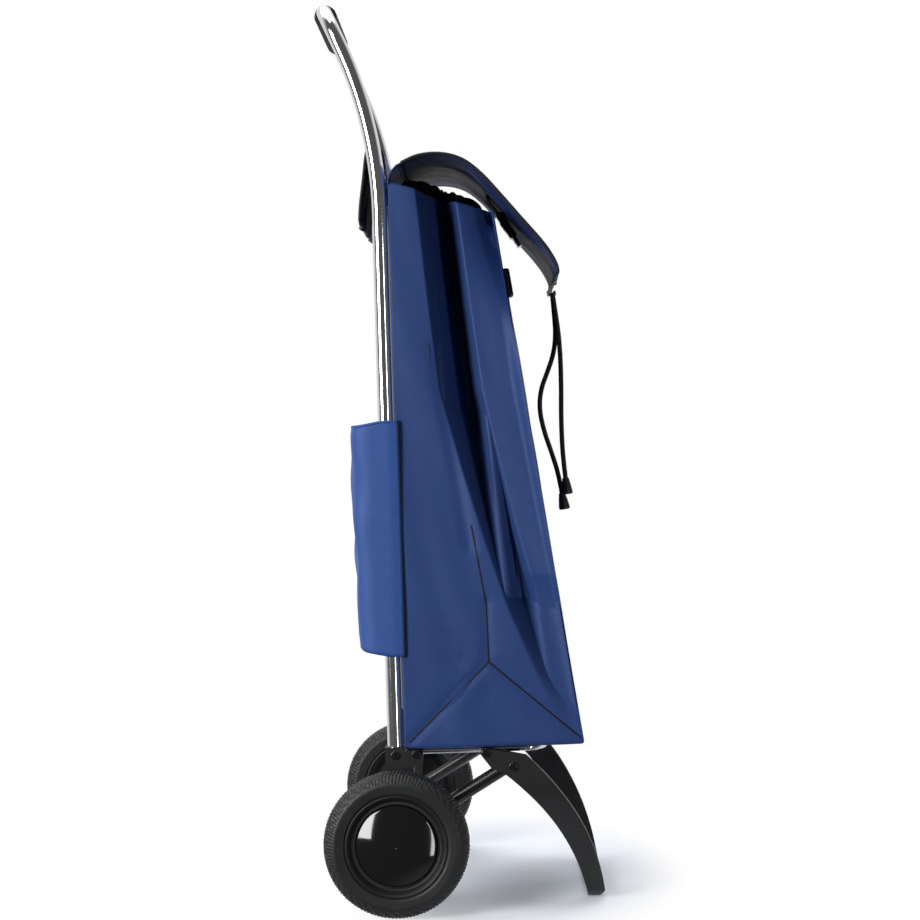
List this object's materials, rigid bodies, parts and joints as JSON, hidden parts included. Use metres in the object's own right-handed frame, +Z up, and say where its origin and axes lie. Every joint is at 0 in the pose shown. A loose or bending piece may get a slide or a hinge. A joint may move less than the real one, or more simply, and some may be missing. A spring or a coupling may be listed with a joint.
{
  "type": "two-wheel shopping trolley",
  "caption": "Fabric shopping bag on a leaning tube frame with two wheels, a fold-up platform with a stand, a lid flap and a pocket at the back.",
  "frame": {"origin": "on the floor, under the middle of the trolley's box", "axes": "+Z up, +X to the front where the stand is, +Y to the trolley's left wheel"},
  "size_m": [0.342, 0.414, 1.0493],
  "materials": {
    "chrome_tube": "polished chromed steel tube",
    "chrome_rod": "polished chromed steel rod",
    "grip": "soft black foam grip",
    "socket": "black moulded plastic, satin",
    "steel": "zinc plated steel",
    "screws": "black screws",
    "tyre": "soft black foam tyre with fine tread",
    "rim": "matt black plastic",
    "hubcap": "high gloss black plastic",
    "bush": "natural nylon",
    "stand": "black moulded plastic, satin",
    "strut": "black painted steel tube",
    "board": "black stiff board",
    "bag_cloth": "blue polyester cloth",
    "pocket_cloth": "blue polyester cloth",
    "lining": "dark navy coated cloth",
    "lid_cloth": "blue polyester cloth",
    "binding": "black binding tape",
    "webbing": "black woven webbing",
    "buckle": "glossy black plastic",
    "cord": "black braided cord",
    "cord_end": "black plastic"
  },
  "bodies": {
    "frame": {"handle_tube": "chrome_tube", "handle_grip": "grip", "crossbar": "chrome_tube", "socket_left": "socket", "socket_right": "socket", "socket_screws": "screws", "platform_screws": "screws", "axle": "steel", "axle_spacer": "strut", "axle_washers": "steel", "axle_clips": "steel", "bag": "bag_cloth", "collar": "lining", "rear_pocket": "pocket_cloth", "rear_flap": "bag_cloth", "lid_root": "lid_cloth", "bag_strap": "webbing", "buckle_female": "buckle"},
    "wheel_left": {"tyre_left": "tyre", "rim_left": "rim", "bush_left": "bush", "hubcap_left": "hubcap"},
    "wheel_right": {"tyre_right": "tyre", "rim_right": "rim", "bush_right": "bush", "hubcap_right": "hubcap"},
    "platform": {"platform_loop": "chrome_rod", "platform_sleeves": "chrome_rod", "platform_cross_rods": "chrome_rod", "base_board": "board"},
    "stand": {"stand": "stand", "stand_screws": "screws"},
    "strut_left": {"strut_left": "strut"},
    "strut_right": {"strut_right": "strut"},
    "lid": {"lid": "lid_cloth", "lid_piping": "binding", "lid_strap": "webbing", "buckle_male": "buckle", "cord_eyelets": "cord_end", "draw_cord_left": "cord", "draw_cord_right": "cord", "cord_end_left": "cord_end", "cord_end_right": "cord_end"}
  },
  "joints": [
    {"name": "wheel_left_spin", "type": "hinge", "parent": "frame", "child": "wheel_left", "pos_m": [-0.07, 0.185, 0.083], "axis": [0, 1, 0], "continuous": true},
    {"name": "wheel_right_spin", "type": "hinge", "parent": "frame", "child": "wheel_right", "pos_m": [-0.07, -0.185, 0.083], "axis": [0, 1, 0], "continuous": true},
    {"name": "platform_fold", "type": "hinge", "parent": "frame", "child": "platform", "pos_m": [-0.04882, 0, 0.18048], "axis": [0, -1, 0], "range_deg": [0, 80], "deforming": ["bag", "bag_strap", "buckle_female"]},
    {"name": "stand_fold", "type": "hinge", "parent": "platform", "child": "stand", "pos_m": [0.03029, 0, 0.18146], "axis": [0, -1, 0], "range_deg": [-110.53, 0.5]},
    {"name": "strut_left_fold", "type": "hinge", "parent": "frame", "child": "strut_left", "pos_m": [-0.07, 0.13, 0.083], "axis": [0, -1, 0], "range_deg": [-0.5, 38.25]},
    {"name": "strut_right_fold", "type": "hinge", "parent": "frame", "child": "strut_right", "pos_m": [-0.07, -0.13, 0.083], "axis": [0, -1, 0], "range_deg": [-0.5, 38.25]},
    {"name": "lid_hinge", "type": "hinge", "parent": "frame", "child": "lid", "pos_m": [-0.0721, 0, 0.85258], "axis": [0, -1, 0], "range_deg": [0, 90]}
  ],
  "couplings": [
    {"joint": "stand_fold", "follows": "platform_fold", "ratio": -1.3753},
    {"joint": "strut_left_fold", "follows": "platform_fold", "ratio": 0.47188},
    {"joint": "strut_right_fold", "follows": "platform_fold", "ratio": 0.47188}
  ]
}
